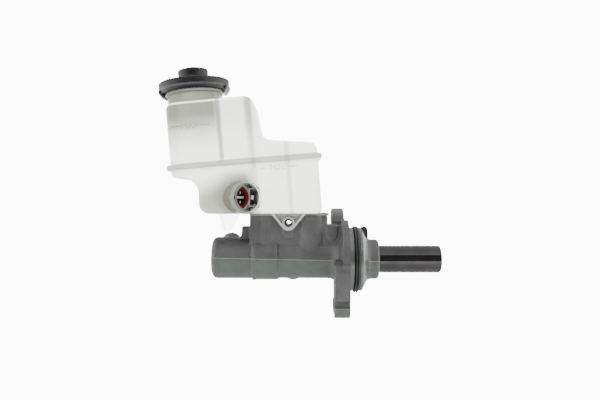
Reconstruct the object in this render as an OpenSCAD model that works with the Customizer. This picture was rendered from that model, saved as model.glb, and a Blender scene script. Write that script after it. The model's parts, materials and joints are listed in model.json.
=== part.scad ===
// Tandem brake master cylinder with its fluid reservoir, level switch and filler cap.
// The origin is on the bore's axis, in the flange face that meets the brake booster.
// +X points along the bore to the booster, +Z points up, and the level switch faces -Y.

/* [Pistons] */
// Diameter of both pistons
piston_d = 25.4; // [25:0.1:25.8]
// Travel of the primary piston, from released to fully applied
stroke = 30; // [20:1:30]
// How far the primary piston stands out behind the flange face when released
piston_reach = 86.6; // [80:0.2:95]
// Radius of the socket for the booster's push rod
socket_r = 6.5; // [5:0.1:7.5]
// Depth of that socket
socket_depth = 55; // [30:1:55]

/* [Cylinder casting] */
// Distance from the flange face to the closed front end
body_length = 127; // [125:1:135]
// Outer radius of the barrel
barrel_r = 19.5; // [19:0.1:21]
// Height of the barrel's centre above the bore's axis
barrel_rise = 1.5; // [0:0.1:2]
// Height of the deck under the reservoir
deck_z = 41.3; // [40.5:0.1:43]
// Centre of the front inlet boss
front_inlet_x = -75.3; // [-77:0.1:-74]
// Centre of the rear inlet boss
rear_inlet_x = -34.8; // [-36:0.1:-34]
// Radius of the seats that hold the grommets
inlet_seat_r = 9.5; // [9:0.1:10]

/* [Flange and spigot] */
// Bolt circle of the two booster studs
stud_pcd = 90; // [86:1:94]
// Radius of the stud holes
stud_hole_r = 4.5; // [4:0.1:5.5]
// Angle of the stud line, from straight down towards -Y
stud_angle = 30; // [25:1:35]
// Radius of the round flange plate
flange_r = 37.3; // [36:0.1:40]
// Thickness of the flange plate
flange_t = 6.5; // [5:0.1:9]
// Thickness at the two ears
ear_t = 14; // [11:0.5:15]
// Radius of the spigot that locates in the booster
spigot_r = 29.7; // [29:0.1:31]
// Radius of the nose behind the spigot
nose_r = 18.6; // [18.4:0.1:20]
// Distance from the flange face to the end of the nose
nose_end = 28.5; // [28.5:0.1:31]

/* [Outlets] */
// Radius of the two outlet ports, tapped M10 x 1
outlet_r = 4.5; // [4:0.1:5]
// Depth of their threads
outlet_depth = 7.6; // [6:0.1:8]
// Distance from the barrel's centre to their faces
outlet_reach = 25.5; // [25:0.5:28]
// Outer radius of the port bosses
outlet_boss_r = 9; // [8:0.1:9.5]
// Position of the front circuit's outlet
front_outlet_x = -111; // [-113:0.5:-108]
// Position of the rear circuit's outlet
rear_outlet_x = -51.8; // [-54:0.1:-50]
// Angle of the front outlet above +Y
front_outlet_angle = 40; // [20:1:45]
// Angle of the rear outlet above +Y
rear_outlet_angle = -40; // [-45:1:-30]

/* [Reservoir] */
// Wall of the reservoir shells
tank_wall = 2.4; // [2:0.1:2.6]
// Slope of the reservoir against the cylinder, in degrees
tank_tilt = 5; // [3:0.5:6]
// Half the width at the tall front part
tank_half_w = 31; // [30:0.5:33]
// Half the width at the low rear part
tank_half_w_rear = 27; // [25:0.5:28]
// Height of the tall part above the weld seam
tank_top = 58; // [56:0.5:60]
// How far the weld flange stands out
seam_reach = 3.6; // [2:0.1:4.5]
// Thickness of the weld flange, both halves together
seam_t = 4.6; // [3:0.1:6]
// Outer radius of the filler neck
neck_r = 25.7; // [25.7:0.1:26]
// Height of the filler neck's rim above the weld seam
neck_top = 70; // [69:0.5:71]

/* [Cap] */
// Radius of the cap's rim
cap_r = 32.9; // [32.5:0.1:34]
// Height of the cap's rim
cap_h = 7.1; // [6:0.1:9]
// Radius of the cap's grip knob
knob_r = 14.2; // [12:0.1:16]
// Height of the knob above the rim
knob_h = 12.4; // [10:0.1:14]

/* [Level switch] */
// Angle of the connector, from -Y towards +X
switch_angle = 34; // [30:1:36]
// Outer radius of the tube that holds the switch
switch_tube_r = 14.5; // [14:0.1:15]
// Travel of the float
float_travel = 12; // [6:1:12]

/* [Hidden] */
$fn = 64;
running = 0.05;          // radial clearance of a moving fit
piston_r = piston_d / 2;
bore_r = piston_r + running;
groove_r = piston_r + 3.5;
bore_end = -body_length + 7.5;
secondary_share = 0.5;   // the secondary piston moves this much of the stroke
seat_tube = stroke * (1 - secondary_share) + 4.5;  // the stem bolt's head slides in it

// Seals that sit in grooves of the bore: [start, width]
cup_w = 4.2;
secondary_cup_x = -88.5;
separation_cup_x = -76;
primary_cup_x = -36.5;
rear_cup_x = -23.5;
vacuum_seal_x = 8;
groove_gap = 0.15;
lip_t = 0.9;
front_feed_x = -80;
rear_feed_x = -28;
feed_half = 3;
feed_r = 2.4;
feed_relief = 1.8;
chamber_relief = 0.5;
front_chamber_end = -92;
rear_chamber = [-66, -40];

// Secondary piston
sec_front = -90.5;
sec_rear = -54;
sec_web = [-72.5, -63];
cavity_r = 9.5;
relief_r = 0.8;
relief_depth = 6;

// Primary piston
pri_front = -38;
pri_web = [-6, 6];
stem_r = 2.4;
socket_tip_r = 3;
socket_tip = 6;

// Outlets: their bosses start boss_root from the barrel's centre, round a narrow drilling
boss_root = 14.9;
drilling_r = 1.6;
drilling_start = 8;
flare_depth = 2.4;

// Springs
wire_r = 1;
coil_r = 8;
primary_turns = 8;
secondary_turns = 7;

spigot_land = 4.5;
spigot_end = 13.1;
seal_groove_r = 27.2;
bush_x = [18, 26];
bush_r = 15;
ring_gap = 0.2;

stud = [0, -sin(stud_angle) * stud_pcd / 2, -cos(stud_angle) * stud_pcd / 2];
pin_x = (front_inlet_x + rear_inlet_x) / 2 - 0.4;
pin_z = deck_z - 6.5;
pin_r = 3.5;
tab_y = 18.2;
tab_t = 3;
grommet_flange_t = 1.9;
grommet_flange_r = 12.5;
tank_floor = deck_z + grommet_flange_t;

// The reservoir's own frame: its origin is where the neck's axis meets the seam.
seam_x = -138.1;
seam_z = 86.7;
function to_tank(x, z) =
    [(x - seam_x) * cos(tank_tilt) + (z - seam_z) * sin(tank_tilt),
     (z - seam_z) * cos(tank_tilt) - (x - seam_x) * sin(tank_tilt)];
module in_tank() translate([seam_x, 0, seam_z]) rotate([0, -tank_tilt, 0]) children();

// The connector's frame: +Z points out of the socket, +Y is up.
switch_face = [-92, -37, 58];
module in_switch() translate(switch_face) rotate([90, 0, switch_angle]) children();

float_at = [-107, 2];
float_rest = 59.5;
float_r = 11;
float_h = 9;
post_r = 2.4;
post_top = float_rest + float_h + float_travel + 0.5;
float_stop_r = 4.2;
magnet_t = 2.5;
magnet_r = 8;
magnet_hole_r = 4.5;

// ---- helpers -------------------------------------------------------------

function unit(v) = v / norm(v);

// The arc that rounds corner b between a and c, or b itself where r is 0.
function corner(a, b, c, r, n = 6) =
    r == 0 ? [b] :
    let (u = unit(a - b), v = unit(c - b), half = acos(u * v) / 2,
         centre = b + unit(u + v) * r / sin(half),
         p = b + u * r / tan(half) - centre, q = b + v * r / tan(half) - centre,
         from = atan2(p[1], p[0]), turn = atan2(q[1], q[0]) - from,
         sweep = turn > 180 ? turn - 360 : turn < -180 ? turn + 360 : turn)
    [for (i = [0:n]) centre + r * [cos(from + sweep * i / n), sin(from + sweep * i / n)]];

// An outline from corners given as [x, y, radius].
function rounded(c) =
    let (n = len(c), at = function (i) [c[i][0], c[i][1]])
    [for (i = [0:n - 1])
        each corner(at((i + n - 1) % n), at(i), at((i + 1) % n), c[i][2])];

// A solid turned about the bore's axis, from points [x, radius].
module turned(points) rotate([0, 90, 0]) rotate_extrude() polygon([for (p = points) [p[1], p[0]]]);

// A rod along +X from x0 to x1.
module rod(x0, x1, r) translate([x0, 0, 0]) rotate([0, 90, 0]) cylinder(h = x1 - x0, r = r);

// A disc or ring about +Z.
module ring(z0, z1, r_out, r_in) translate([0, 0, z0]) difference() {
    cylinder(h = z1 - z0, r = r_out);
    translate([0, 0, -1]) cylinder(h = z1 - z0 + 2, r = r_in);
}

module along_y(points, half) rotate([90, 0, 0]) linear_extrude(2 * half, center = true) polygon(points);

// A helix of wire about the bore's axis, with closed ends a wire apart.
module coil(x0, x1, turns, r = coil_r, wire = wire_r, sides = 8, steps = 18) {
    count = turns * steps;
    span = x1 - x0 - 2 * wire;
    path = [for (i = [0:count])
        let (a = 360 * i / steps) [x0 + wire + span * i / count, r * cos(a), r * sin(a)]];
    points = [for (i = [0:count]) let (a = 360 * i / steps) for (k = [0:sides - 1])
        path[i] + wire * (cos(360 * k / sides) * [0, cos(a), sin(a)] + sin(360 * k / sides) * [1, 0, 0])];
    faces = concat(
        [[for (k = [0:sides - 1]) k]],
        [for (i = [0:count - 1]) for (k = [0:sides - 1])
            let (a = i * sides + k, b = i * sides + (k + 1) % sides) each
            [[a, a + sides, b], [b, a + sides, b + sides]]],
        [[for (k = [sides - 1:-1:0]) count * sides + k]]);
    polyhedron(points, faces);
}

// ---- cylinder ------------------------------------------------------------

module barrel() translate([0, 0, barrel_rise]) {
    nose = -body_length;
    turned(concat(
        [[nose, 0]],
        corner([nose, 0], [nose, barrel_r], [-90, barrel_r], 5),
        [[-89.2, barrel_r], [-88.6, barrel_r + 1.5], [-65.6, barrel_r + 1.5], [-65, barrel_r]],
        corner([-65, barrel_r], [-flange_t - 1, barrel_r], [-flange_t - 1, barrel_r + 20], 7),
        [[-flange_t - 1, barrel_r + 9], [-flange_t / 2, barrel_r + 9], [-flange_t / 2, 0]]));
}

// A vertical boss under one reservoir outlet, flat on its sides.
module inlet_boss(x, half_x, half_y) intersection() {
    translate([x, 0, 0]) cylinder(h = deck_z, r = max(half_x, half_y));
    translate([x - half_x, -half_y, 0]) cube([2 * half_x, 2 * half_y, deck_z]);
}

module deck_web() {
    translate([-90, -10, 0]) cube([70, 20, deck_z - 0.6]);
    inlet_boss(front_inlet_x, 15.6, 15.6);
    inlet_boss(rear_inlet_x, 15.5, 18);
    // lug for the retaining pin
    along_y(rounded([[pin_x - 4.7, 20.8, 4.2], [pin_x + 4.7, 20.8, 4.2],
        [pin_x + 4.7, deck_z, 0], [pin_x - 4.7, deck_z, 0]]), 15.6);
    // step in front of the deck
    along_y(rounded([[-106, 12, 0], [-98.6, 22, 6], [-98.4, 31, 1.2], [-88, 31, 0], [-88, 12, 0]]), 8.5);
    // rounded pad between the deck and the flange
    along_y(rounded([[-20.5, 19.3, 4.6], [-10.6, 19.3, 4.6], [-10.6, 32.6, 0], [-20.5, 32.6, 0]]), 15);
    along_y([[-21.5, 0], [-5, 0], [-5, 33.6], [-8, 32.2], [-21.5, 32.2]], 12.6);
}

// A thick ear around one stud, drawn as [-Z, -Y] in the plane of the flange.
module ear() translate([-ear_t, 0, 0]) rotate([0, 90, 0]) linear_extrude(ear_t) hull() {
    translate([-stud[2], stud[1]]) circle(r = 12.2, $fn = 48);
    translate([9, -26.2]) circle(r = 10.4, $fn = 48);
    translate([16, -14]) circle(r = 8, $fn = 48);
}

module flange() {
    rod(-flange_t, 0, flange_r);
    ear();
    // the far ear is the same, cut flat and chamfered at its tip
    intersection() {
        rotate([180, 0, 0]) ear();
        along_y([[-ear_t, 0], [-ear_t, 47.5], [-4.5, 47.5], [0, 41], [0, 0]], 60);
    }
}

// The frame of one outlet: +Z points out of the port.
module at_outlet(x, angle) translate([x, 0, barrel_rise]) rotate([angle - 90, 0, 0]) children();

// A boss with a tapped mouth and a flare seat.
module outlet_boss(x, angle) at_outlet(x, angle) difference() {
    union() {
        translate([0, 0, boss_root]) cylinder(h = outlet_reach - 1 - boss_root, r = outlet_boss_r);
        translate([0, 0, outlet_reach - 1]) cylinder(h = 1, r1 = outlet_boss_r, r2 = outlet_boss_r - 0.8);
    }
    translate([0, 0, outlet_reach - outlet_depth]) cylinder(h = outlet_depth + 1, r = outlet_r);
    translate([0, 0, outlet_reach - outlet_depth - flare_depth])
        cylinder(h = flare_depth + 0.1, r1 = drilling_r, r2 = outlet_r);
    translate([0, 0, drilling_start]) cylinder(h = 12, r = drilling_r);
}

// What the casting gives way to: the boss's seat and the drilling into the bore.
module outlet_seat(x, angle) at_outlet(x, angle) {
    translate([0, 0, boss_root]) cylinder(h = 20, r = outlet_boss_r);
    translate([0, 0, drilling_start]) cylinder(h = boss_root - drilling_start + 1, r = drilling_r);
}

module spigot() turned(concat(
    [[-1, 0], [-1, spigot_r], [spigot_land, spigot_r], [spigot_land, seal_groove_r],
     [9.6, seal_groove_r], [9.6, spigot_r], [12.3, spigot_r], [spigot_end, spigot_r - 0.8],
     [16.8, nose_r + 1]],
    [[17.2, nose_r]],
    corner([17, nose_r], [nose_end, nose_r], [nose_end, 0], 2.2),
    [[nose_end, 0]]));

module seal_groove(x) rod(x, x + cup_w + 2 * groove_gap, groove_r);

module bore() {
    rod(bore_end, nose_end + 1, bore_r);
    for (x = [secondary_cup_x, separation_cup_x, primary_cup_x, rear_cup_x, vacuum_seal_x]) seal_groove(x);
    for (x = [front_feed_x, rear_feed_x]) rod(x - feed_half, x + feed_half, bore_r + feed_relief);
    // relieved lengths of the two pressure chambers
    rod(bore_end, front_chamber_end, bore_r + chamber_relief);
    rod(rear_chamber[0], rear_chamber[1], bore_r + chamber_relief);
    rod(bush_x[0], nose_end + 1, bush_r);
    rod(bush_x[1] + ring_gap, bush_x[1] + ring_gap + 1.4, bush_r + 1);
}

module cylinder_body() color([0.55, 0.56, 0.56]) difference() {
    union() {
        barrel();
        deck_web();
        flange();
        spigot();
        translate([13, -6, nose_r - 1]) cube([5.4, 12, spigot_r - nose_r - 0.1]);
    }
    bore();
    for (side = [-1, 1]) translate([0, side * stud[1], side * stud[2]]) {
        rod(-ear_t - 1, 1, stud_hole_r);
        rod(-ear_t - 1, -ear_t + 0.6, 9);
    }
    for (at = [[front_inlet_x, front_feed_x], [rear_inlet_x, rear_feed_x]]) {
        translate([at[0], 0, deck_z - 14]) cylinder(h = 20, r = inlet_seat_r);
        translate([at[1], 0, 8]) cylinder(h = 25, r = feed_r);
    }
    translate([pin_x, 0, pin_z]) rotate([90, 0, 0]) cylinder(h = 80, r = pin_r + 0.05, center = true);
    outlet_seat(front_outlet_x, front_outlet_angle);
    outlet_seat(rear_outlet_x, rear_outlet_angle);
}

module front_outlet_boss() color([0.55, 0.56, 0.56]) outlet_boss(front_outlet_x, front_outlet_angle);
module rear_outlet_boss() color([0.55, 0.56, 0.56]) outlet_boss(rear_outlet_x, rear_outlet_angle);

// ---- pistons, springs and seals -------------------------------------------

module relief_holes(x) for (a = [45:90:315])
    rotate([a, 0, 0]) translate([x, 0, piston_r - relief_depth]) cylinder(h = 8, r = relief_r);

module primary_piston() color([0.22, 0.22, 0.23]) difference() {
    turned([[pri_front, 0], [pri_front, piston_r - 0.6], [pri_front + 0.8, piston_r],
        [piston_reach - 0.8, piston_r], [piston_reach, piston_r - 0.8], [piston_reach, 0]]);
    rod(pri_front - 1, pri_web[0], cavity_r);
    rod(pri_web[0] - 1, pri_web[1] - 3, stem_r);
    rod(piston_reach - socket_depth, piston_reach + 1, socket_r);
    rod(piston_reach - socket_depth - socket_tip, piston_reach - socket_depth + 1, socket_tip_r);
    relief_holes(primary_cup_x + cup_w + 2);
}

module secondary_piston() color([0.6, 0.6, 0.58]) difference() {
    turned([[sec_front, 0], [sec_front, piston_r - 0.6], [sec_front + 0.8, piston_r],
        [sec_rear - 0.8, piston_r], [sec_rear, piston_r - 0.6], [sec_rear, 0]]);
    rod(sec_front - 1, sec_web[0], cavity_r);
    rod(sec_web[1], sec_rear + 1, cavity_r);
    relief_holes(secondary_cup_x + cup_w + 2);
}

module primary_spring() color([0.7, 0.7, 0.72]) coil(sec_web[1] + 1, pri_web[0], primary_turns);

module secondary_spring() color([0.7, 0.7, 0.72]) coil(bore_end + 1, sec_web[0], secondary_turns);

// Flanged tube that holds the stem bolt's head, so that the primary spring stays caged.
module primary_spring_seat() color([0.75, 0.72, 0.55]) {
    x = sec_web[1];
    turned([[x, 4.2], [x, 9.2], [x + 1, 9.2], [x + 1, 5], [x + seat_tube, 5], [x + seat_tube, 2.7],
        [x + seat_tube - 0.9, 2.7], [x + seat_tube - 0.9, 4.2]]);
}

module stem_bolt() color([0.5, 0.5, 0.52]) {
    head = sec_web[1] + seat_tube - 3.5;
    tail = pri_web[1] - 3;
    turned([[head, 0], [head, 4], [head + 2, 4], [head + 2, stem_r], [tail, stem_r], [tail, 0]]);
}

module secondary_spring_seat() color([0.75, 0.72, 0.55])
    turned([[bore_end, 3], [bore_end, 11.5], [bore_end + 1, 11.5], [bore_end + 1, 6.8],
        [bore_end + 6, 6.2], [bore_end + 6, 5], [bore_end + 1.2, 5], [bore_end + 1.2, 3]]);

// A lip seal whose groove opens towards -X, or towards +X where back is true.
module cup(x, back = false) {
    x0 = x + groove_gap;
    x1 = x0 + cup_w;
    deep = 0.6 * cup_w;
    mouth = back ? x1 : x0;
    root = back ? x1 - deep : x0 + deep;
    heel = back ? x0 : x1;
    mid = (bore_r + groove_r) / 2;
    turned([[mouth, bore_r], [mouth, bore_r + lip_t], [root, mid], [mouth, groove_r - lip_t],
        [mouth, groove_r], [heel, groove_r], [heel, bore_r]]);
}

module secondary_pressure_cup() color([0.12, 0.12, 0.12]) cup(secondary_cup_x);
module separation_cup() color([0.12, 0.12, 0.12]) cup(separation_cup_x, true);
module primary_pressure_cup() color([0.12, 0.12, 0.12]) cup(primary_cup_x);
module primary_rear_cup() color([0.12, 0.12, 0.12]) cup(rear_cup_x);
module vacuum_seal() color([0.12, 0.12, 0.12]) cup(vacuum_seal_x, true);

// Seal between the spigot and the booster, with two lips.
module spigot_seal() color([0.06, 0.06, 0.07]) {
    lip = spigot_r + 1.6;
    turned([[4.7, seal_groove_r], [4.7, lip - 0.9], [5.3, lip - 0.2], [5.9, lip], [6.5, lip - 0.2],
        [7.05, lip - 0.8], [7.6, lip - 0.2], [8.2, lip], [8.8, lip - 0.2], [9.4, lip - 0.9],
        [9.4, seal_groove_r]]);
}

module guide_bush() color([0.8, 0.78, 0.7])
    turned([[bush_x[0], bore_r], [bush_x[0], bush_r], [bush_x[1], bush_r], [bush_x[1], bore_r]]);

module retaining_ring() color([0.7, 0.7, 0.7]) {
    x = bush_x[1] + ring_gap + 0.1;
    difference() {
        turned([[x, 13.4], [x, bush_r + 0.8], [x + 1.2, bush_r + 0.8], [x + 1.2, 13.4]]);
        translate([x - 1, -2, -bush_r - 2]) cube([4, 4, 6]);
    }
}

// ---- reservoir -------------------------------------------------------------

tank_x0 = -25.5;
tank_x1 = 110;
step_x = 50;
baffles = [24, 51.5, 82];
baffle_t = 2;
baffle_end = 8;      // the baffles reach this far towards +Y, and leave a way past them
circuit_wall = 2;    // the last one closes the lower half, so that a leak can't empty both circuits
cavity_reach = 4;    // how far the hollows of the two halves pass the seam

function plan() = rounded([[tank_x0, -tank_half_w, 17], [step_x, -tank_half_w, 8],
    [step_x + 8, -tank_half_w_rear, 8], [tank_x1, -tank_half_w_rear, 9],
    [tank_x1, tank_half_w_rear, 9], [step_x + 8, tank_half_w_rear, 8],
    [step_x, tank_half_w, 8], [tank_x0, tank_half_w, 17]]);

// The two halves seen from the side, each passing the seam by past.
function upper_side(past = 1) = rounded([[tank_x0, -past, 0], [tank_x0 - 0.5, tank_top, 8],
    [55.5, tank_top + 0.5, 9], [60, 18.5, 12], [tank_x1, 11.5, 7], [tank_x1, -past, 0]]);

function lower_side(past = 1) =
    let (front = to_tank(-135, tank_floor), rear = to_tank(-24.6, tank_floor))
    rounded([[tank_x0, past, 0], [tank_x0 + 1, -9, 5], [0.5, -12.5, 13], [front[0], front[1], 9],
        [rear[0], rear[1], 4], [tank_x1, past, 0]]);

// A solid with one outline seen from the side and another seen from above, shrunk by inset.
module prism(side, top, inset, z0, z1) intersection() {
    rotate([90, 0, 0]) linear_extrude(200, center = true) offset(delta = -inset) polygon(side);
    translate([0, 0, z0]) linear_extrude(z1 - z0) offset(delta = -inset) polygon(top);
}

module seam_flange(z0, z1) difference() {
    translate([0, 0, z0]) linear_extrude(z1 - z0) offset(delta = seam_reach) polygon(plan());
    translate([0, 0, z0 - 1]) linear_extrude(z1 - z0 + 2) offset(delta = -tank_wall) polygon(plan());
}

// A wall inside the tank, from its -Y side to end.
module baffle(x, z0, z1, end = baffle_end) intersection() {
    translate([x - baffle_t / 2, -40, z0]) cube([baffle_t, 40 + end, z1 - z0]);
    children();
}

module reservoir_upper() color([0.88, 0.89, 0.85]) in_tank() {
    half = seam_t / 2;
    difference() {
        union() {
            intersection() {
                prism(upper_side(), plan(), 0, -1, 80);
                translate([-60, -60, 0]) cube([200, 120, 90]);
            }
            cylinder(h = neck_top, r = neck_r);
            ring(neck_top - 2.6, neck_top, neck_r + 1.9, neck_r - 1);
        }
        prism(upper_side(cavity_reach), plan(), tank_wall, -1, 80);
        translate([0, 0, 40]) cylinder(h = 40, r = neck_r - 2.5);
        translate([0, 0, neck_top - 1]) cylinder(h = 2, r = neck_r - 1.1);
        translate([-60, -60, -9]) cube([200, 120, 9]);
    }
    seam_flange(0, half);
    for (x = baffles) baffle(x, 0, tank_top - 1) prism(upper_side(), plan(), 1, 0, 80);
}

module tab(side) {
    w = 16.8;
    face = [for (k = [0:8]) let (a = 180 + 45 + 90 * k / 8) [pin_x, pin_z] + 7.1 * [cos(a), sin(a)]];
    outline = concat([[pin_x - w, tank_floor + 1]], face, [[pin_x + w, tank_floor + 1]]);
    y = side * (tab_y + tab_t / 2);
    translate([0, y, 0]) difference() {
        along_y(outline, tab_t / 2);
        // the thin panel inside the rim
        translate([0, side * 1.9, 0]) difference() {
            rotate([90, 0, 0]) linear_extrude(tab_t, center = true) offset(delta = -2.1) polygon(outline);
            translate([pin_x, 0, pin_z]) rotate([90, 0, 0]) cylinder(h = 9, r = 5.4, center = true);
        }
        translate([pin_x, 0, pin_z]) rotate([90, 0, 0]) cylinder(h = 9, r = pin_r + 0.1, center = true);
    }
}

// V-shaped leg under the front of the tank.
module front_leg() {
    top = tank_floor + 1;
    foot = 26;
    outer = rounded([[-121.6, top, 0], [-117.3, foot, 2.2], [-110.5, foot, 2.2], [-101.4, top, 0]]);
    difference() {
        along_y(outer, 7);
        along_y([[-119.9, top + 2], [-116, foot + 5.5], [-111.6, foot + 5.5], [-103.6, top + 2]], 9);
    }
}

// Tube in the tank's side for the level switch.
module switch_tube(r, z0, z1) in_switch() translate([0, 0, z0]) cylinder(h = z1 - z0, r = r);

module reservoir_lower() color([0.88, 0.89, 0.85]) {
    difference() {
        union() {
            in_tank() {
                intersection() {
                    prism(lower_side(), plan(), 0, -60, 1);
                    translate([-60, -60, -70]) cube([200, 120, 70]);
                }
                seam_flange(-seam_t / 2, 0);
            }
            intersection() {
                switch_tube(switch_tube_r, -24, 0);
                translate([-140, -60, tank_floor - 2]) cube([100, 60, 60]);
            }
        }
        difference() {
            union() {
                in_tank() prism(lower_side(cavity_reach), plan(), tank_wall, -60, 1);
                in_tank() translate([-60, -60, 0]) cube([200, 120, 9]);
            }
            switch_tube(switch_tube_r, -22, 0);
            translate([float_at[0], float_at[1], 0]) cylinder(h = post_top, r = post_r);
            translate([float_at[0], float_at[1], 0]) cylinder(h = float_rest, r = float_stop_r);
        }
        switch_tube(switch_tube_r - 1.7, -20, 1);
        in_switch() translate([0, -5, -30]) cylinder(h = 20, r = 5.02);
        for (x = [front_inlet_x, rear_inlet_x]) translate([x, 0, 30]) cylinder(h = 30, r = 4);
    }
    for (x = [front_inlet_x, rear_inlet_x]) translate([x, 0, 0]) ring(deck_z - 12.5, tank_floor + 1, 6, 4);
    for (side = [-1, 1]) tab(side);
    front_leg();
    difference() {
        in_tank() for (i = [1:2]) baffle(baffles[i], -60, 0, i == circuit_wall ? 40 : baffle_end)
            prism(lower_side(), plan(), 1, -60, 0);
        switch_tube(switch_tube_r - 1, -22, 1);
    }
    // foot that rests on the rear of the deck
    difference() {
        translate([-31, -13, deck_z]) cube([10.2, 26, 3]);
        translate([rear_inlet_x, 0, deck_z - 1])
            cylinder(h = tank_floor - deck_z + 1, r = grommet_flange_r + 0.3);
    }
}

module front_grommet() color([0.1, 0.1, 0.1]) grommet(front_inlet_x);
module rear_grommet() color([0.1, 0.1, 0.1]) grommet(rear_inlet_x);
module grommet(x) translate([x, 0, 0]) {
    ring(deck_z, tank_floor, grommet_flange_r, 6);
    ring(deck_z - 11, deck_z, inlet_seat_r, 6);
    ring(deck_z - 13.4, deck_z - 11, inlet_seat_r - 1.4, 6);
}

// Slotted spring pin through both tabs and the casting's lug.
module retaining_pin() color([0.3, 0.3, 0.32]) translate([pin_x, 0, pin_z]) rotate([90, 0, 0])
    linear_extrude(2 * (tab_y + tab_t) - 0.6, center = true) difference() {
        circle(r = pin_r);
        circle(r = pin_r - 1.4);
        rotate(20) translate([0, -0.6]) square([5, 1.2]);
    }

strainer_r = 20.6;
strainer_depth = 24;

// Strainer basket in the neck, with open windows in its side and floor.
module filler_strainer() color([0.92, 0.92, 0.9]) in_tank() difference() {
    floor_z = neck_top - strainer_depth;
    union() {
        ring(neck_top - 1, neck_top, neck_r - 1.2, strainer_r);
        ring(floor_z, neck_top - 1, strainer_r + 1.2, strainer_r);
        translate([0, 0, floor_z]) cylinder(h = 1.2, r = strainer_r + 0.4);
    }
    for (a = [0:45:315]) rotate([0, 0, a + 22.5]) translate([15, -5.5, floor_z + 4]) cube([10, 11, 15]);
    for (a = [0:90:270]) rotate([0, 0, a]) translate([1.2, 1.2, floor_z - 2])
        intersection() {
            cube([17, 17, 5]);
            cylinder(h = 5, r = 18.5);
        }
}

// ---- cap -------------------------------------------------------------------

cap_z = neck_top + 2.8;
bellows = 8;
bellows_r = 19.2;

module cap_diaphragm() color([0.1, 0.1, 0.1]) in_tank() {
    ring(neck_top + 0.05, neck_top + 1.95, 26.4, 17);
    ring(neck_top - bellows, neck_top + 0.05, bellows_r, bellows_r - 1.2);
    translate([0, 0, neck_top - bellows - 1.2]) cylinder(h = 1.2, r = bellows_r);
    ring(neck_top - bellows, neck_top - bellows + 4, 12, 11);
}

module filler_cap() color([0.16, 0.16, 0.17]) in_tank() {
    top = cap_z + cap_h;
    inside = top - 2.5;
    skirt = cap_z - 2.6;
    clamp = neck_top + 2.1;
    knob_top = top + knob_h;
    rotate_extrude() polygon([[0, inside], [23.4, inside], [23.4, clamp], [26.4, clamp],
        [26.4, inside], [30.2, inside], [30.2, skirt], [31.4, skirt], [31.4, cap_z],
        [cap_r, cap_z], [cap_r, top - 1], [cap_r - 1, top], [knob_r + 1, top], [knob_r, top + 1],
        [knob_r, knob_top - 1.4], [knob_r - 1.4, knob_top], [6, knob_top + 1.8], [0, knob_top + 2.2]]);
    // claws beside the neck's rim
    for (side = [0, 180]) rotate([0, 0, side - 24]) rotate_extrude(angle = 48) polygon([
        [28.1, cap_z - 6.6], [30.4, cap_z - 6.6], [34, cap_z - 0.6], [34, cap_z + 0.8], [32, cap_z + 0.8],
        [31, cap_z - 2.6], [30.2, cap_z - 3.4], [28.1, cap_z - 4.6]]);
}

// ---- level switch ------------------------------------------------------------

lens_w = 11.9;
lens_h = 18.6;
lens_at = -3.4;
seal_t = 1.7;
terminal_y = 4.2;
terminal_t = 0.8;
terminal_w = 2.3;
divider_w = 6.7;
divider_h = 1.7;
socket_floor = -14;      // from the mouth of the switch
block_t = 2.5;
reed_end = -47;
reed_y = -5;

// Pointed oval of the socket: two arcs that meet at its top and bottom.
module lens(grow = 0) {
    w = lens_w / 2 + grow;
    h = lens_h / 2 + grow * 1.3;
    r = (w * w + h * h) / (2 * w);
    intersection() {
        translate([lens_at - w + r, 0]) circle(r = r);
        translate([lens_at + w - r, 0]) circle(r = r);
    }
}

module switch_shell() color([0.5, 0.52, 0.5]) in_switch() {
    difference() {
        union() {
            translate([0, 0, -19.9]) cylinder(h = 19.1, r = switch_tube_r - 1.8);
            translate([0, reed_y, reed_end - 3]) cylinder(h = 31, r = 5);
        }
        // socket around the sleeve
        translate([0, 0, socket_floor]) linear_extrude(20) difference() {
            intersection() {
                circle(r = 11);
                translate([-12, -12]) square([15, 24]);
            }
            lens(1.3);
        }
        // pocket for the plug's latch
        translate([3.4, -7.2, -12]) cube([8, 14.4, 20]);
        translate([0, 0, socket_floor]) linear_extrude(20) lens();
        translate([0, reed_y, reed_end]) cylinder(h = 20, r = 3.2);
    }
}

module switch_seal() color([0.5, 0.05, 0.03]) in_switch()
    translate([0, 0, socket_floor]) linear_extrude(10.5) difference() {
        lens(-0.05);
        lens(-seal_t);
    }

module terminal(y) translate([lens_at - terminal_t / 2, y - terminal_w / 2, socket_floor])
    cube([terminal_t, terminal_w, 8.5]);

module divider(h) translate([lens_at - divider_w / 2, -divider_h / 2, socket_floor + 1.5])
    cube([divider_w, divider_h, h]);

module terminal_block() color([0.05, 0.05, 0.05]) in_switch() difference() {
    translate([0, 0, socket_floor]) linear_extrude(block_t) lens(-seal_t - 0.05);
    for (y = [-terminal_y, terminal_y]) terminal(y);
    divider(5);
}

module terminal_divider() color([0.9, 0.9, 0.9]) in_switch() divider(7);

module switch_terminals() color([0.75, 0.68, 0.45]) in_switch()
    for (y = [-terminal_y, terminal_y]) terminal(y);

module reed_switch() color([0.5, 0.7, 0.6]) in_switch() translate([0, reed_y, reed_end]) {
    cylinder(h = 14, r = 2.2);
    translate([0, 0, 14]) cylinder(h = 6, r = 0.5);
}

module at_float() translate([float_at[0], float_at[1], float_rest]) children();

module level_float() color([0.85, 0.75, 0.4]) at_float() difference() {
    ring(0, float_h, float_r, post_r + 0.1);
    ring(-1, magnet_t, magnet_r, magnet_hole_r);
}

module float_magnet() color([0.25, 0.25, 0.27]) at_float() ring(0.1, magnet_t, magnet_r, magnet_hole_r);

// ---- nodes -------------------------------------------------------------------

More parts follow.
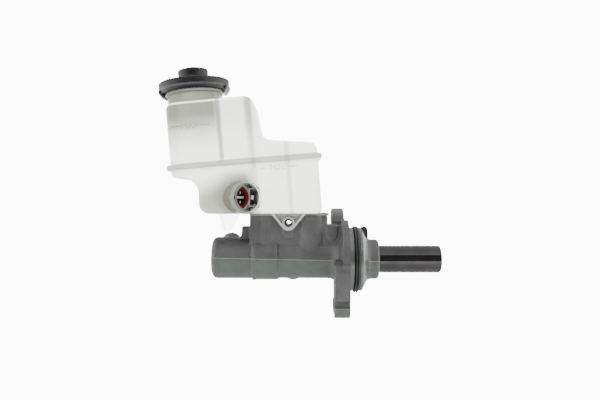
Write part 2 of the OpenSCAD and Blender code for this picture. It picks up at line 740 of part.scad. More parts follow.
cylinder_body();
front_outlet_boss();
rear_outlet_boss();
reservoir_upper();
reservoir_lower();
filler_cap();
cap_diaphragm();
filler_strainer();
front_grommet();
rear_grommet();
retaining_pin();
switch_shell();
switch_seal();
terminal_block();
terminal_divider();
switch_terminals();
reed_switch();
level_float();
float_magnet();
primary_piston();
secondary_piston();
primary_spring();
secondary_spring();
primary_spring_seat();
stem_bolt();
secondary_spring_seat();
secondary_pressure_cup();
separation_cup();
primary_pressure_cup();
primary_rear_cup();
vacuum_seal();
spigot_seal();
guide_bush();
retaining_ring();
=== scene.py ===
"""Looks of the tandem brake master cylinder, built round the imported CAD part. Lengths are in millimetres."""

import json
import math

import bmesh
import bpy
import numpy as np
from mathutils import Matrix, Vector
from mathutils.geometry import convex_hull_2d

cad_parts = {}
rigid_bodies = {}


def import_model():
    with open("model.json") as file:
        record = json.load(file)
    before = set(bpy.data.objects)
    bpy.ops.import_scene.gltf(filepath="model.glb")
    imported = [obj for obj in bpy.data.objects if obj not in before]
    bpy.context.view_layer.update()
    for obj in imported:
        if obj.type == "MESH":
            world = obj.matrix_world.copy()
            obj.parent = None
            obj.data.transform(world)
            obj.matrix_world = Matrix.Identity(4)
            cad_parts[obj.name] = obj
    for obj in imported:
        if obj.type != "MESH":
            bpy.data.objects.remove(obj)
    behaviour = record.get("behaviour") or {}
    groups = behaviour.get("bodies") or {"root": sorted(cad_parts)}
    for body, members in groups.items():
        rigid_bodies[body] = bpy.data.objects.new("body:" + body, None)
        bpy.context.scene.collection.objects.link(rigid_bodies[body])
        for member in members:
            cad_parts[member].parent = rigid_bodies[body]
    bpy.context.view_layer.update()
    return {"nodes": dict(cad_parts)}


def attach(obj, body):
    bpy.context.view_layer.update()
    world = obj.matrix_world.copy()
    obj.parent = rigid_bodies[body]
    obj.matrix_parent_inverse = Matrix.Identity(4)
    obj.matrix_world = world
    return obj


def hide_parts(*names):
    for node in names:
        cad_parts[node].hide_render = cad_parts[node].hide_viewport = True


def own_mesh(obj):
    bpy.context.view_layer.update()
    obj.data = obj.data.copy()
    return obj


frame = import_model()
nodes = frame["nodes"]
MM = 0.001

# Driving dimensions of the CAD part
BARREL_R, BARREL_RISE = 19.5, 1.5
DECK_Z = 41.3
FRONT_INLET_X, REAR_INLET_X = -75.3, -34.8
FLANGE_R, FLANGE_T, EAR_T = 37.3, 6.5, 14
STUD = (-22.5, -38.97)  # Y and Z of the lower stud; the other is opposite
STUD_HOLE_R = 4.5
SPIGOT_R, NOSE_R, NOSE_END = 29.7, 18.6, 28.5
LUG_FOOT = 21.2  # where the lug stands clear of the cone
PIN_X, PIN_Z = -55.45, 34.8
BORE_R = 12.85
PARTING = (0.1, -0.0225)  # height of the parting line at X 0, and its slope
TANK_ORIGIN = Vector((-138.1, 0, 86.7))
TANK_TILT = math.radians(5)
TANK_FLOOR = DECK_Z + 1.9
TANK_WALL = 2.4
BAFFLES = (24, 51.5, 82)  # inner walls, along the tank
SWITCH_FACE = Vector((-92, -37, 58))
SWITCH_ANGLE = math.radians(34)

ALONG_X = Matrix.Rotation(math.radians(90), 4, "Y")
UP = Matrix.Identity(4)
TANK = Matrix.Translation(TANK_ORIGIN) @ Matrix.Rotation(-TANK_TILT, 4, "Y")
SWITCH = (Matrix.Translation(SWITCH_FACE) @ Matrix.Rotation(SWITCH_ANGLE, 4, "Z")
          @ Matrix.Rotation(math.radians(90), 4, "X"))
STEM = SWITCH @ Matrix.Translation((0, -5, 0))
FACING_Y = Matrix.Rotation(math.radians(90), 4, "X")  # drawn x stays X, drawn y becomes Z
PIN = Matrix.Translation((PIN_X, 0, PIN_Z)) @ FACING_Y


def outlet(x, angle):
    """The frame of one outlet port: its Z points out of the mouth, angle degrees from level."""
    return Matrix.Translation((x, 0, BARREL_RISE)) @ Matrix.Rotation(math.radians(angle - 90), 4, "X")


OUTLETS = {"front": outlet(-111, 40), "rear": outlet(-51.8, -40)}
OUTLET_R, OUTLET_DRILL_R = 9, 1.6
OUTLET_FOOT, OUTLET_REACH = 14.9, 25.5  # heights of the boss above the barrel's axis


# ---- outlines ----

def arc(cx, cy, r, start, end, steps=10):
    """Points round a centre, from one angle in degrees to another."""
    angles = [math.radians(start + (end - start) * i / steps) for i in range(steps + 1)]
    return [(cx + r * math.cos(a), cy + r * math.sin(a)) for a in angles]


def rounded(corners, steps=8):
    """A closed outline from (x, y, radius) corners."""
    points = []
    for i, (x, y, r) in enumerate(corners):
        if not r:
            points.append((x, y))
            continue
        b = Vector((x, y))
        u = (Vector(corners[i - 1][:2]) - b).normalized()
        v = (Vector(corners[(i + 1) % len(corners)][:2]) - b).normalized()
        half = math.acos(max(-1, min(1, u.dot(v)))) / 2
        centre = b + (u + v).normalized() * r / math.sin(half)
        p = b + u * r / math.tan(half) - centre
        q = b + v * r / math.tan(half) - centre
        start, turn = math.atan2(p.y, p.x), math.atan2(q.y, q.x) - math.atan2(p.y, p.x)
        turn = (turn + math.pi) % (2 * math.pi) - math.pi
        for k in range(steps + 1):
            a = start + turn * k / steps
            points.append((centre.x + r * math.cos(a), centre.y + r * math.sin(a)))
    return points


# ---- meshes ----

def build(name, parts):
    """One object from several (points, faces) in millimetres."""
    points, faces = [], []
    for p, f in parts:
        faces += [[i + len(points) for i in face] for face in f]
        points += p
    mesh = bpy.data.meshes.new(name)
    mesh.from_pydata([Vector(p) * MM for p in points], [], faces)
    bm = bmesh.new()
    bm.from_mesh(mesh)
    bmesh.ops.remove_doubles(bm, verts=bm.verts, dist=1e-7)
    bmesh.ops.recalc_face_normals(bm, faces=bm.faces)
    bm.to_mesh(mesh)
    bm.free()
    obj = bpy.data.objects.new(name, mesh)
    bpy.context.scene.collection.objects.link(obj)
    return obj


def lathe(profile, place=UP, sides=96, start=0, sweep=360):
    """Turns a closed profile of (radius, height) about local Z."""
    n, whole = len(profile), sweep == 360
    rows = sides if whole else sides + 1
    points = []
    for i in range(rows):
        a = math.radians(start + sweep * i / sides)
        points += [place @ Vector((r * math.cos(a), r * math.sin(a), z)) for r, z in profile]
    faces = []
    for i in range(sides):
        j = (i + 1) % rows
        for k in range(n):
            m = (k + 1) % n
            if profile[k][0] > 0 or profile[m][0] > 0:
                faces.append([i * n + k, j * n + k, j * n + m, i * n + m])
    if not whole:
        faces += [list(range(n)), [sides * n + k for k in range(n)]]
    return points, faces


def turned(profile, sides=96):
    """A solid about the bore's axis from (x, radius)."""
    return lathe([(r, x) for x, r in profile], ALONG_X, sides)


def prism(outline, z0, z1, place=UP):
    """A closed outline raised from z0 to z1."""
    n = len(outline)
    points = [place @ Vector((x, y, z)) for z in (z0, z1) for x, y in outline]
    faces = [[i, (i + 1) % n, n + (i + 1) % n, n + i] for i in range(n)]
    return points, faces + [list(range(n - 1, -1, -1)), list(range(n, 2 * n))]


def ring_of(outer, inner, z0, z1, place=UP):
    """A band between two outlines of as many points."""
    n = len(outer)
    loops = ((outer, z0), (outer, z1), (inner, z1), (inner, z0))
    points = [place @ Vector((x, y, z)) for line, z in loops for x, y in line]
    faces = [[a * n + i, a * n + (i + 1) % n, b * n + (i + 1) % n, b * n + i]
             for a, b in ((0, 1), (1, 2), (2, 3), (3, 0)) for i in range(n)]
    return points, faces


def box(lo, hi, place=UP):
    """A block between two corners."""
    return prism([(lo[0], lo[1]), (hi[0], lo[1]), (hi[0], hi[1]), (lo[0], hi[1])], lo[2], hi[2], place)


def cylinder(r, z0, z1, place=UP, sides=64):
    """A closed cylinder on local Z."""
    return lathe([(0, z0), (r, z0), (r, z1), (0, z1)], place, sides)


def settle(obj):
    """Applies obj's modifiers."""
    graph = bpy.context.evaluated_depsgraph_get()
    mesh = bpy.data.meshes.new_from_object(obj.evaluated_get(graph))
    obj.modifiers.clear()
    obj.data = mesh
    return obj


def melt(obj, voxel, rounds):
    """Joins overlapping solids into one skin, and rounds its edges and inner corners."""
    remesh = obj.modifiers.new("melt", "REMESH")
    remesh.mode = "VOXEL"
    remesh.voxel_size = voxel * MM
    smooth = obj.modifiers.new("round", "SMOOTH")
    smooth.factor = 0.5
    smooth.iterations = rounds
    return settle(obj)


def join(a, b):
    """Adds b's mesh to a, and removes b."""
    mesh = bmesh.new()
    mesh.from_mesh(a.data)
    mesh.from_mesh(b.data)
    mesh.to_mesh(a.data)
    mesh.free()
    bpy.data.objects.remove(b)
    return a


def combine(obj, other, operation):
    """Cuts obj with the solid other, or keeps what both fill, and removes other."""
    cut = obj.modifiers.new("cut", "BOOLEAN")
    cut.operation = operation
    cut.solver = "MANIFOLD"
    cut.object = other
    settle(obj)
    bpy.data.objects.remove(other)
    return obj


def carve(obj, solids):
    """Takes several solids out of obj. They may overlap each other."""
    for solid in solids:
        combine(obj, build("cutter", [solid]), "DIFFERENCE")
    return obj


def smooth_shade(obj, angle=35):
    """Smooth shading, but for edges sharper than angle degrees."""
    mesh = obj.data
    mesh.shade_smooth()
    mesh.set_sharp_from_angle(angle=math.radians(angle))
    return obj


def bevelled(obj, width):
    """Rounds the sharp edges with a bevel modifier."""
    bevel = obj.modifiers.new("edge", "BEVEL")
    bevel.width = width * MM
    bevel.segments = 3
    bevel.limit_method = "ANGLE"
    bevel.angle_limit = math.radians(35)
    bevel.harden_normals = True
    return obj


def finish_piece(obj, material, slot, body, *stands_for):
    """Gives a piece its material and its body, and hides the CAD nodes that it stands for. slot is not used.
    """
    obj.data.materials.clear()
    obj.data.materials.append(material)
    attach(obj, body)
    if stands_for:
        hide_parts(*stands_for)
    return obj


def second_material(obj, material, wanted):
    """A second material on each face whose centre, in millimetres, and normal are wanted."""
    obj.data.materials.append(material)
    for face in obj.data.polygons:
        if wanted(face.center / MM, face.normal):
            face.material_index = 1


# ---- materials ----

class Nodes:
    """Shader nodes in the making, for a material or the world."""

    def __init__(self, tree, coordinates):
        self.tree = tree
        self.place = tree.nodes.new("ShaderNodeTexCoord").outputs[coordinates]

    def set(self, node, socket, value):
        """Links value to a socket, or sets the socket where value is a number or colour."""
        if hasattr(value, "is_output"):
            self.tree.links.new(value, node.inputs[socket])
        else:
            node.inputs[socket].default_value = value

    def node(self, kind, out=0, **values):
        """The output out of a new node. Keys i_0, i_1 are its inputs by number."""
        n = self.tree.nodes.new("ShaderNode" + kind)
        for key, value in values.items():
            if key.startswith("i_"):
                self.set(n, int(key[2:]), value)
            elif key in n.inputs:
                self.set(n, key, value)
            else:
                setattr(n, key, value)
        return n.outputs[out]

    def noise(self, size, detail):
        """Grey noise with features of about size millimetres."""
        return self.node("TexNoise", Vector=self.place, Scale=1000 / size / 2, Detail=detail, Roughness=0.55)

    def clouds(self, size, detail):
        """Noise spread out to the whole range from 0 to 1."""
        return self.curve(self.noise(size, detail), 0.3, 0.7)

    def curve(self, value, low, high, to_low=0.0, to_high=1.0):
        """Goes smoothly from to_low to to_high as value goes from low to high."""
        return self.node("MapRange", interpolation_type="SMOOTHSTEP", i_0=value, i_1=low, i_2=high,
                         i_3=to_low, i_4=to_high)

    def ramp(self, value, start, end, to_start=0.0, to_end=1.0):
        """A curve whose start and end are in millimetres."""
        return self.curve(value, start * MM, end * MM, to_start, to_end)

    def between(self, value, rise, fall):
        """1 between the stretches rise and fall, in millimetres, and 0 beyond them."""
        return self.times(self.ramp(value, *rise), self.ramp(value, *fall, 1, 0))

    def math(self, operation, a, b=0.0):
        return self.node("Math", operation=operation, i_0=a, i_1=b)

    def times(self, first, *others):
        for other in others:
            first = self.math("MULTIPLY", first, other)
        return first

    def less(self, value):
        """1 less value."""
        return self.math("SUBTRACT", 1, value)

    def blend(self, factor, a, b):
        """The colour a where factor is 0, and b where it is 1."""
        a, b = (color if hasattr(color, "is_output") else (*color, 1) for color in (a, b))
        return self.node("Mix", out=2, data_type="RGBA", i_0=factor, i_6=a, i_7=b)

    def within(self, place):
        """The surface's place in the frame of place, in metres."""
        inverse = place.inverted()
        return self.node("Mapping", Vector=self.place, Location=inverse.translation * MM,
                         Rotation=inverse.to_euler())

    def axis(self, name, place=None):
        """One coordinate of the surface in metres, in the frame of place if there is one."""
        at = self.place if place is None else self.within(place)
        return self.node("SeparateXYZ", out=name, Vector=at)

    def distance(self, place):
        """How far the surface is from the Z axis of place, in metres."""
        flat = self.node("VectorMath", operation="MULTIPLY", i_0=self.within(place), i_1=(1, 1, 0))
        return self.node("VectorMath", out=1, operation="LENGTH", i_0=flat)


class Paint(Nodes):
    """A material whose patterns lie in the object's own coordinates."""

    def __init__(self, name, color, rough, metal=0.0, **sockets):
        self.material = bpy.data.materials.new(name)
        self.material.use_nodes = True
        super().__init__(self.material.node_tree, "Object")
        self.shader = self.tree.nodes["Principled BSDF"]
        self.set(self.shader, "Base Color", (*color, 1))
        self.set(self.shader, "Roughness", rough)
        self.set(self.shader, "Metallic", metal)
        for socket, value in sockets.items():
            self.set(self.shader, socket.replace("_", " "), value)

    def bump(self, height, depth, strength):
        """Relief of up to depth millimetres."""
        normal = self.node("Bump", Height=height, Strength=strength, Distance=depth * MM)
        self.set(self.shader, "Normal", normal)


def cast_aluminium():
    """Die-cast grey, with a greener, lighter painted reflection below the parting line, painted highlights on
    edges and painted shade in inner corners.
    """
    p = Paint("cast_aluminium", (0.1, 0.1, 0.1), 0.5, 0.25)
    cloud = p.clouds(12, 3)
    grain = p.noise(0.9, 4)
    x, z = p.axis("X"), p.axis("Z")
    line_z, slope = PARTING
    above = p.math("SUBTRACT", z, p.times(x, slope))
    flange = p.between(x, (-14.9, -14.3), (0, 0.6))
    ear = p.times(flange, p.between(z, (-41.2, -40.7), (-3, -2)))

    # The lower half's greener, lighter colour is a painted reflection of light from below; the upper colour is
    # its shaded copy
    upper = p.blend(cloud, (0.066, 0.066, 0.067), (0.088, 0.088, 0.088))
    lower = p.blend(cloud, (0.074, 0.084, 0.077), (0.09, 0.101, 0.092))
    below = p.ramp(above, line_z - 0.3, line_z + 0.1, 1, 0)
    color = p.blend(p.times(below, p.less(p.times(ear, 0.85))), upper, lower)
    # Painted shade in creases and inner corners, and painted highlights on edges, from the mesh's pointiness
    point = p.node("NewGeometry", out="Pointiness")
    color = p.blend(p.curve(point, 0.43, 0.49, 0.75, 0), color, (0.025, 0.025, 0.026))
    color = p.blend(p.curve(point, 0.515, 0.57, 0, 0.6), color, (0.19, 0.2, 0.195))
    # A painted highlight along the parting-line flash
    line = p.between(above, (line_z - 0.45, line_z - 0.1), (line_z + 0.15, line_z + 0.5))
    color = p.blend(p.times(line, p.less(flange), 0.55), color, (0.27, 0.29, 0.28))

    # Bands across the ear: painted shadow under the parting line, painted shade in the recess near its end,
    # and a painted highlight on the step
    for low, high, amount, tone in (
            (-2.6, -0.4, 0.7, (0.035, 0.035, 0.036)),
            (-40.5, -34.4, 0.6, (0.04, 0.04, 0.04)),
            (-41.4, -40.8, 0.5, (0.2, 0.21, 0.2))):
        band = p.between(z, (low - 0.3, low + 0.1), (high - 0.1, high + 0.3))
        color = p.blend(p.times(band, flange, amount), color, tone)
    # Painted light on the upper ear's face, which sits under the tank
    far_ear = p.times(p.ramp(p.axis("Y"), 4, 8), p.ramp(z, 33, 36))
    color = p.blend(p.times(far_ear, flange, 0.8), color, (0.17, 0.175, 0.17))
    speckle = p.curve(p.noise(0.5, 2), 0.62, 0.8, 0, 0.35)
    p.set(p.shader, "Base Color", p.blend(speckle, color, (0.03, 0.03, 0.03)))
    p.set(p.shader, "Roughness", p.curve(grain, 0.2, 0.8, 0.42, 0.62))
    p.bump(grain, 0.16, 0.9)
    return p.material


def turned_metal(name, dark, light, rough, metal, depth, cone=None):
    """Metal turned about the bore's axis, with fine lines round it, and cone's colour as a painted highlight
    on the upper half of the spigot's cone.
    """
    p = Paint(name, dark, rough, metal)
    lines = p.node("TexWave", wave_type="RINGS", rings_direction="X", Vector=p.place, Scale=420,
                   Distortion=0.4)
    color = p.blend(p.clouds(6, 3), dark, light)
    if cone:
        # A painted highlight on the upper half of the spigot's cone
        cone_painted_highlight = p.times(p.ramp(p.axis("X"), 12.2, 12.8), p.ramp(p.axis("Z"), 0, 3))
        color = p.blend(p.times(cone_painted_highlight, 0.6), color, cone)
    p.set(p.shader, "Base Color", color)
    p.set(p.shader, "Roughness", p.curve(p.noise(2.5, 4), 0.3, 0.7, 0.85 * rough, 1.15 * rough))
    p.bump(lines, depth, 0.35)
    return p.material


def clear_plastic(name, alpha):
    """The tank's plastic where it is thin enough to see through."""
    p = Paint(name, (0.8, 0.82, 0.76), 0.36, Alpha=alpha)
    tone = p.curve(p.noise(26, 3), 0.35, 0.7)
    p.set(p.shader, "Base Color", p.blend(tone, (0.8, 0.83, 0.75), (0.88, 0.9, 0.85)))
    p.bump(p.noise(1.6, 3), 0.08, 0.4)
    return p.material


def near(p, value, at, full, gone):
    """1 up to full millimetres from at, and 0 from gone millimetres on."""
    off = p.math("ABSOLUTE", p.math("SUBTRACT", value, at * MM))
    return p.ramp(off, full, gone, 1, 0)


def wall_shades(p, u, v):
    """Painted shade where the tank's inner walls and seam stand behind its skin, and how dark each makes it;
    the walls' shade is fainter towards +Y.
    """
    side = p.ramp(p.axis("Y"), 5, 20, 1, 0.3)
    first, second, third = BAFFLES
    return [
        (p.times(near(p, u, first, 1.1, 2.9), side, p.ramp(v, -2, 6)), 0.68),
        (p.times(near(p, u, second - 1, 1.8, 4.5), side, p.ramp(v, 8, 44, 0.3, 1)), 0.6),
        (p.times(near(p, u, second, 1.1, 2.9), side, p.ramp(v, -20, 0, 0, 1)), 0.25),
        (p.times(near(p, u, third, 1.1, 2.9), side), 0.35),
        (near(p, v, 0, 1.8, 3.2), 0.72)]


def chamber_shades(p, u, v):
    """Painted shade on the upper part of the front chamber, broken by a painted highlight along its top edge,
    painted shadow on the neck under the cap, and painted shade on the lower front corner.
    """
    edge = p.less(p.times(near(p, v, 56.8, 0.5, 1.5), 0.7))
    return [
        (p.times(p.ramp(u, 19, 29, 1, 0.3), edge, p.ramp(v, 8, 48)), 0.95),
        (p.ramp(v, 61, 69), 0.75),
        (p.times(p.ramp(u, 4, 40, 1, 0), p.ramp(v, -32, -10, 1, 0)), 0.8)]


def switch_shades(p, u, v):
    """Painted shade where the switch stands behind the wall round its tube, and on the side of the tube
    itself.
    """
    reach, ahead = p.distance(SWITCH), p.axis("Z", SWITCH)
    front = p.ramp(ahead, -46, -34)
    around = p.times(p.ramp(reach, 15, 33, 1, 0), p.ramp(u, 42, 56, 1, 0.1), front, p.ramp(v, -10, 0, 1, 0.2))
    tube = p.times(p.ramp(reach, 14.7, 15.8, 1, 0), front, p.ramp(ahead, -3, -1.6, 1, 0))
    return [(around, 0.92), (tube, 0.8)]


def milky_plastic():
    """Polypropylene that lets light through, with painted shade where inner walls or other parts stand behind
    it.
    """
    p = Paint("milky_plastic", (0.80, 0.82, 0.76), 0.36, Alpha=0.9)
    color = p.blend(p.curve(p.noise(26, 3), 0.35, 0.7), (0.83, 0.855, 0.78), (0.9, 0.92, 0.87))
    dark = p.blend(p.clouds(9, 3), (0.07, 0.075, 0.052), (0.095, 0.1, 0.072))
    u, v = p.axis("X", TANK), p.axis("Z", TANK)
    # Each place below gets painted shade, darker where less light comes through the plastic
    for place, amount in wall_shades(p, u, v) + chamber_shades(p, u, v) + switch_shades(p, u, v):
        color = p.blend(p.times(place, amount), color, dark)
    p.set(p.shader, "Base Color", color)
    p.bump(p.noise(1.6, 3), 0.08, 0.4)
    return p.material


def plain(name, color, rough, metal=0.0, depth=0.03, **sockets):
    """One tone of moulded plastic, rubber or plated metal, a little uneven in colour and gloss."""
    p = Paint(name, color, rough, metal, **sockets)
    dark = [0.86 * c for c in color]
    light = [1.13 * c for c in color]
    p.set(p.shader, "Base Color", p.blend(p.clouds(5, 4), dark, light))
    p.set(p.shader, "Roughness", p.curve(p.noise(2.5, 4), 0.3, 0.7, rough - 0.04, rough + 0.06))
    p.bump(p.noise(0.8, 3), depth, 0.6)
    return p.material


# ---- casting ----

NOSE_X = -126.8  # the closed front end of the barrel
BORE_END = -119.5
WEB_TOP = DECK_Z + 4  # the deck's cutter levels what stands above the deck
SEAL_GROOVES, SEAL_GROOVE_R, SEAL_GROOVE_W = (-88.5, -76, -36.5, -23.5), 16.2, 4.5
FEEDS = {FRONT_INLET_X: -80, REAR_INLET_X: -28}  # where each inlet's drilling meets the bore
FEED_R, FEED_GROOVE_R, FEED_GROOVE_HALF = 2.4, 14.6, 3
INLET_R, INLET_DEPTH = 9.5, 14
PIN_HOLE_R = 3.55
STUD_PAD_R, STUD_PAD_H = 6.8, 0.9


def barrel():
    """The barrel round the bore, with a wider band in its middle, and its flare into the flange."""
    r = BARREL_R
    front = [(0, NOSE_X), *[(x, y) for y, x in arc(NOSE_X + 5, r - 5, 5, 180, 90)]]
    band = [(r, -89.5), (r + 1.7, -88.9), (r + 1.7, -87), (r + 1.1, -86.4), (r + 1.1, -65.8),
            (r - 0.2, -65.2)]
    flare = [(y, x) for x, y in arc(-19, r + 11.5, 11.5, 270, 350)]
    back = [(FLANGE_R - 8, -4), (0, -4)]
    return lathe(front + band + flare + back, Matrix.Translation((0, 0, BARREL_RISE)) @ ALONG_X)


def webs():
    """Inlet bosses, the block under the deck, the pin's boss, and the ribs and pads on top of the barrel."""
    rear, half, inlet_r = REAR_INLET_X, 15.5, 18.2
    near_arc = arc(rear, 0, inlet_r, -121, -59, 12)
    far_arc = arc(rear, 0, inlet_r, 59, 121, 12)
    rear_boss = [(rear - half, -9.5), *near_arc, (rear + half, -9.5),
                 (rear + half, 9.5), *far_arc, (rear - half, 9.5)]
    pin_boss = rounded([(PIN_X - 4.7, 20.4, 4.4), (PIN_X + 4.7, 20.4, 4.4),
                        (PIN_X + 4.7, WEB_TOP, 0), (PIN_X - 4.7, WEB_TOP, 0)])
    step = [(-107, 12), (-99.4, 23), (-99, 31), (-88, 31), (-88, 12)]
    rear_pad = rounded([(-20.2, 19, 4.8), (-10.4, 19, 4.8), (-10.4, 32.8, 0), (-20.2, 32.8, 0)])
    rear_web = [(-21.5, 0), (-5, 0), (-5, 33.6), (-8, 32.4), (-21.5, 32.4)]
    front_boss_r = 15.9
    return [
        cylinder(front_boss_r, 0, DECK_Z + 1, Matrix.Translation((FRONT_INLET_X, 0, 0))),
        prism(rear_boss, 0, WEB_TOP),
        box((-91.2, -14.7, 6), (-21, 14.7, WEB_TOP)),
        prism(pin_boss, -16.4, 16.4, FACING_Y),
        prism(step, -8.6, 8.6, FACING_Y),
        prism(rear_pad, -15.4, 15.4, FACING_Y),
        prism(rear_web, -14.5, 14.5, FACING_Y)]


def ear(side):
    """One stud ear: side 1 is the one below, side -1 the one above, turned by half a turn."""
    bosses = [(*STUD, 12.2), (-26.2, -9, 10.4), (-14, -16, 8)]
    circles = [p for y, z, r in bosses for p in arc(-z * side, y * side, r, 0, 360, 40)]
    outline = [circles[i] for i in convex_hull_2d(circles)]
    return prism(outline, -EAR_T, 1, ALONG_X)


def at_stud(side):
    """The frame of one stud hole, Z towards the booster."""
    return Matrix.Translation((0, side * STUD[0], side * STUD[1])) @ ALONG_X


def flange():
    """The round plate, the lower ear and the pads round both stud holes."""
    edge = FLANGE_R - 0.5  # stays inside the CAD part's box once melted
    plate = turned([(-FLANGE_T, 0), (-FLANGE_T, edge), (1, edge), (1, 0)])
    pads = [cylinder(STUD_PAD_R, -EAR_T - STUD_PAD_H, 2 - EAR_T, at_stud(side)) for side in (1, -1)]
    return [plate, ear(1), *pads]


def upper_ear():
    """The ear above, which gets thinner towards its end."""
    keep = [(-EAR_T - 1, 0), (-EAR_T - 1, 47.5), (-3.2, 47.5), (-2.4, 37), (1.5, 34), (1.5, 0)]
    return combine(build("far_ear", [ear(-1)]), build("trim", [prism(keep, -60, 60, FACING_Y)]), "INTERSECT")


def bore_cutters():
    """The bore, its seal grooves and the grooves that the fluid comes in by."""
    cutters = [turned([(BORE_END, 0), (BORE_END, BORE_R), (2, BORE_R), (2, 0)])]
    grooves = [(x, x + SEAL_GROOVE_W, SEAL_GROOVE_R) for x in SEAL_GROOVES]
    grooves += [(x - FEED_GROOVE_HALF, x + FEED_GROOVE_HALF, FEED_GROOVE_R) for x in FEEDS.values()]
    for x0, x1, r in grooves:
        cutters.append(turned([(x0, 0), (x0, r), (x1, r), (x1, 0)]))
    return cutters


def hole_cutters():
    """Stud holes, inlets, their feed drillings, the pin's hole and both outlets."""
    cutters = [cylinder(STUD_HOLE_R, -EAR_T - 2, 2, at_stud(side)) for side in (1, -1)]
    for inlet, feed in FEEDS.items():
        at_inlet = Matrix.Translation((inlet, 0, 0))
        cutters.append(cylinder(INLET_R, DECK_Z - INLET_DEPTH, DECK_Z + 5, at_inlet))
        cutters.append(cylinder(FEED_R, 10, 33, Matrix.Translation((feed, 0, 0))))
    cutters.append(cylinder(PIN_HOLE_R, -40, 40, PIN))
    for place in OUTLETS.values():
        cutters.append(cylinder(OUTLET_R, OUTLET_FOOT, 40, place))
        cutters.append(cylinder(OUTLET_DRILL_R, 8, OUTLET_FOOT + 1, place))
    return cutters


def casting():
    """The whole casting as one skin, with every machined face and hole cut into it."""
    obj = build("cast_body", [barrel(), *webs(), *flange()])
    obj = join(obj, upper_ear())
    melt(obj, 0.5, 6)
    casting_relief(obj)
    deck = box((-200, -60, DECK_Z), (-17, 60, DECK_Z + 20))
    booster_face = box((0, -70, -70), (20, 70, 70))
    ear_recess = box((-30, -60, -40.6), (10, -33.2, -34.3))
    carve(obj, [deck, booster_face, ear_recess, *bore_cutters(), *hole_cutters()])
    return smooth_shade(obj, 40)


def step_down(distance, width):
    """1 below zero and 0 above it, with a soft edge."""
    return 1 / (1 + np.exp(np.clip(distance / width, -50, 50)))


def ridge(distance, width):
    """1 at zero and 0 some widths away."""
    return np.exp(-(distance / width) ** 2)


def casting_relief(obj):
    """Flash where the two moulds met, the slightly wider lower half, and a rib and a groove across."""
    mesh = obj.data
    count = 3 * len(mesh.vertices)
    points, normals = np.empty(count), np.empty(count)
    mesh.vertices.foreach_get("co", points)
    mesh.vertices.foreach_get("normal", normals)
    points, normals = points.reshape(-1, 3) / MM, normals.reshape(-1, 3)
    x, z = points[:, 0], points[:, 2]
    above = z - (PARTING[0] + PARTING[1] * x)
    out = 0.34 * ridge(above, 0.4) + 0.2 * step_down(above, 0.2)
    out[(x > -14.4) | (abs(normals[:, 2]) > 0.75)] = 0  # none on the flange, deck and underside
    upper = step_down(-above, 0.5) * step_down(z - 19, 0.5)
    out += 0.55 * ridge(x + 88, 1) * upper
    out -= 0.6 * ridge(x + 65, 0.6) * upper * step_down(4 - z, 0.5)
    mesh.vertices.foreach_set("co", ((points + normals * out[:, None]) * MM).ravel())
    mesh.update()


def spigot():
    """The turned lands that locate in the booster, and the cone behind them."""
    return build("spigot", [turned([
        (-3, 22), (-3, SPIGOT_R), (4.1, SPIGOT_R), (4.5, SPIGOT_R - 0.4), (4.5, 27.2), (9.6, 27.2),
        (9.6, SPIGOT_R - 0.4), (10, SPIGOT_R), (12.2, SPIGOT_R), (13.1, SPIGOT_R - 0.9), (17.2, 20.6),
        (17.2, 16.4), (12.4, 16.4), (12.4, 16.2), (8, 16.2), (8, 16.4), (-3, 16.4)], sides=160)])


def nose():
    """The as-cast end round the guide bush, with its locating lug."""
    outer = [(12, 20.4), (17, 20.4), (19.5, NOSE_R + 0.4), (21.5, NOSE_R)]
    outer += [(x, r) for r, x in arc(NOSE_R - 2.6, NOSE_END - 2.6, 2.6, 0, 90, 6)]
    inner = [(NOSE_END, 15.4), (NOSE_END - 0.4, 15), (12, 15)]
    obj = build("nose", [turned(outer + inner)])
    lug = rounded([(13, 10, 0), (18.6, 10, 0), (18.6, 26, 0), (17.4, 30.6, 1.2), (13, 30.6, 0.6)])
    obj = join(obj, build("lug", [prism(lug, -6, 6, FACING_Y)]))
    melt(obj, 0.4, 4)
    nose_relief(obj)
    bush_seat = [(7, 0), (7, BORE_R), (18, BORE_R), (18, 15), (26.2, 15)]
    ring_groove = [(26.2, 16), (27.6, 16), (27.6, 15), (30, 15), (30, 0)]
    carve(obj, [turned(bush_seat + ring_groove)])
    return smooth_shade(obj, 40)


def nose_relief(obj):
    """The same flash on both sides of the nose."""
    for v in obj.data.vertices:
        z = v.co.z / MM
        r = math.hypot(v.co.y, v.co.z)
        if r > 15.5 * MM and v.co.x > 18 * MM:
            v.co.y *= 1 + 0.014 * ridge(z, 0.4) + 0.008 * step_down(z, 0.2)
    obj.data.update()


def port_boss(name, place):
    """An outlet's turned boss with fine threads in its mouth and a seat at the bottom."""
    top, threads = OUTLET_REACH, 7
    profile = [(OUTLET_R, OUTLET_FOOT), (OUTLET_R, top - 0.9), (8.3, top), (5.4, top), (4.7, top - 0.7)]
    for k in range(threads):
        z = top - 0.7 - k
        profile += [(4.9, z - 0.25), (4.5, z - 0.5), (4.5, z - 0.75)]
    profile += [(4.5, top - 7.6), (OUTLET_DRILL_R, top - 10), (OUTLET_DRILL_R, OUTLET_FOOT)]
    return smooth_shade(build(name, [lathe(profile, place, 64)]))


def in_mouth(place):
    """Tells which faces of an outlet's boss are machined: its face and the inside of its mouth."""
    def wanted(centre, normal):
        at = place.inverted() @ centre
        outward = normal.dot(place.col[2].xyz) > -0.5
        return at.z > OUTLET_REACH - 12 and outward and math.hypot(at.x, at.y) < 8.6
    return wanted


# ---- reservoir ----

